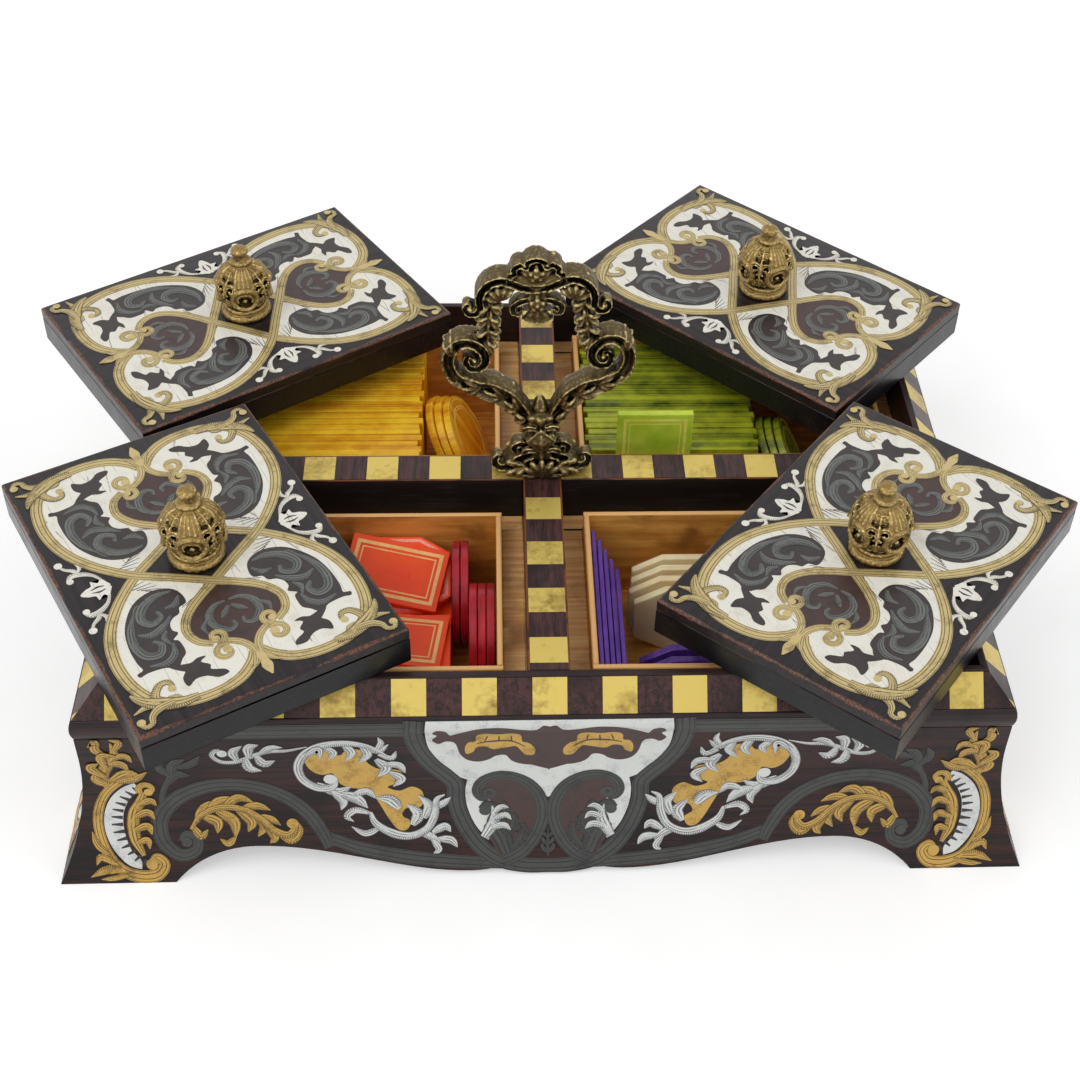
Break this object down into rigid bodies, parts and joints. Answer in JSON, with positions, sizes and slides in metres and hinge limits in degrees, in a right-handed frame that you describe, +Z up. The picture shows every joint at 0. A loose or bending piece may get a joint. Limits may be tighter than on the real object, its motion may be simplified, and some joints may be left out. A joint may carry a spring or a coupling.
{
  "type": "gaming counter box",
  "caption": "Serpentine-footed games box with inlaid sides, chequered rim and divider, scroll handle, lift-off lids with knobs, and trays of gaming counters.",
  "frame": {"origin": "middle of the case, on the plane that its feet stand on", "axes": "+X to the right along the long side, +Y from the front to the back, +Z up along the handle's stem"},
  "size_m": [0.384, 0.3103, 0.1783],
  "materials": {
    "marquetry": "French-polished rosewood with brass, pewter and bone inlay",
    "lid_marquetry": "French-polished rosewood with brass, pewter and bone inlay",
    "rosewood": "French-polished, fine crazing",
    "brass_inlay": "rubbed and lightly tarnished",
    "ebonised_wood": "ebonised, worn at the edges",
    "plain_wood": "plain, waxed",
    "tray_wood": "plain, stained, pale on the rims",
    "bronze": "cast, chased and aged gilt",
    "iron": "dull",
    "counter_yellow": "rubbed gloss",
    "counter_green": "rubbed gloss",
    "counter_lime": "rubbed gloss with engraved lines",
    "counter_orange": "rubbed gloss with engraved lines",
    "counter_crimson": "rubbed gloss",
    "counter_purple": "rubbed gloss",
    "counter_bone": "rubbed gloss"
  },
  "bodies": {
    "case": {"apron_front": "marquetry", "rim_front": "rosewood", "apron_right": "marquetry", "rim_right": "rosewood", "apron_back": "marquetry", "rim_back": "rosewood", "apron_left": "marquetry", "rim_left": "rosewood", "rim_squares_brass": "brass_inlay", "rim_squares_rosewood": "rosewood", "divider_squares_brass": "brass_inlay", "divider_squares_rosewood": "rosewood", "divider_long": "ebonised_wood", "divider_cross": "ebonised_wood", "bottom_board": "plain_wood", "handle": "bronze", "handle_stem": "iron", "handle_washer": "iron", "handle_nut": "iron", "glue_block_front_left": "plain_wood", "ledge_front_left": "plain_wood", "tray_front_left": "tray_wood", "glue_block_front_right": "plain_wood", "ledge_front_right": "plain_wood", "tray_front_right": "tray_wood", "glue_block_back_left": "plain_wood", "ledge_back_left": "plain_wood", "tray_back_left": "tray_wood", "glue_block_back_right": "plain_wood", "ledge_back_right": "plain_wood", "tray_back_right": "tray_wood", "counters_yellow_long": "counter_yellow", "counters_green_long": "counter_green", "counters_green_round": "counter_green", "counters_red_long": "counter_orange", "counters_purple_octagon": "counter_purple", "counters_bone_octagon": "counter_bone"},
    "lid_front_left": {"lid_board_front_left": "lid_marquetry", "lid_frame_front_left": "ebonised_wood", "lid_screw_front_left": "iron", "knob_front_left": "bronze"},
    "lid_front_right": {"lid_board_front_right": "lid_marquetry", "lid_frame_front_right": "ebonised_wood", "lid_screw_front_right": "iron", "knob_front_right": "bronze"},
    "lid_back_left": {"lid_board_back_left": "lid_marquetry", "lid_frame_back_left": "ebonised_wood", "lid_screw_back_left": "iron", "knob_back_left": "bronze"},
    "lid_back_right": {"lid_board_back_right": "lid_marquetry", "lid_frame_back_right": "ebonised_wood", "lid_screw_back_right": "iron", "knob_back_right": "bronze"},
    "red_round_back": {"counters_red_round_back": "counter_crimson"},
    "red_round_front": {"counters_red_round_front": "counter_crimson"},
    "red_plaques": {"plaque_red_octagon": "counter_orange", "plaque_red_upper": "counter_orange"},
    "yellow_round": {"counters_yellow_round": "counter_yellow"},
    "green_plaque": {"plaque_green": "counter_lime"},
    "purple_long": {"counters_purple_long": "counter_purple"}
  },
  "joints": [
    {"name": "lid_front_left_lift", "type": "slide", "parent": "case", "child": "lid_front_left", "axis": [0, 0, 1], "range_m": [0, 0.12]},
    {"name": "lid_front_right_lift", "type": "slide", "parent": "case", "child": "lid_front_right", "axis": [0, 0, 1], "range_m": [0, 0.12]},
    {"name": "lid_back_left_lift", "type": "slide", "parent": "case", "child": "lid_back_left", "axis": [0, 0, 1], "range_m": [0, 0.12]},
    {"name": "lid_back_right_lift", "type": "slide", "parent": "case", "child": "lid_back_right", "axis": [0, 0, 1], "range_m": [0, 0.12]},
    {"name": "red_round_back_lift", "type": "slide", "parent": "case", "child": "red_round_back", "axis": [0, 0, 1], "range_m": [0, 0.075]},
    {"name": "red_round_front_lift", "type": "slide", "parent": "case", "child": "red_round_front", "axis": [0, 0, 1], "range_m": [0, 0.075]},
    {"name": "red_plaques_lift", "type": "slide", "parent": "case", "child": "red_plaques", "axis": [0, 0, 1], "range_m": [0, 0.075]},
    {"name": "yellow_round_lift", "type": "slide", "parent": "case", "child": "yellow_round", "axis": [0, 0, 1], "range_m": [0, 0.075]},
    {"name": "green_plaque_lift", "type": "slide", "parent": "case", "child": "green_plaque", "axis": [0, 0, 1], "range_m": [0, 0.075]},
    {"name": "purple_long_lift", "type": "slide", "parent": "case", "child": "purple_long", "axis": [0, 0, 1], "range_m": [0, 0.075]}
  ]
}
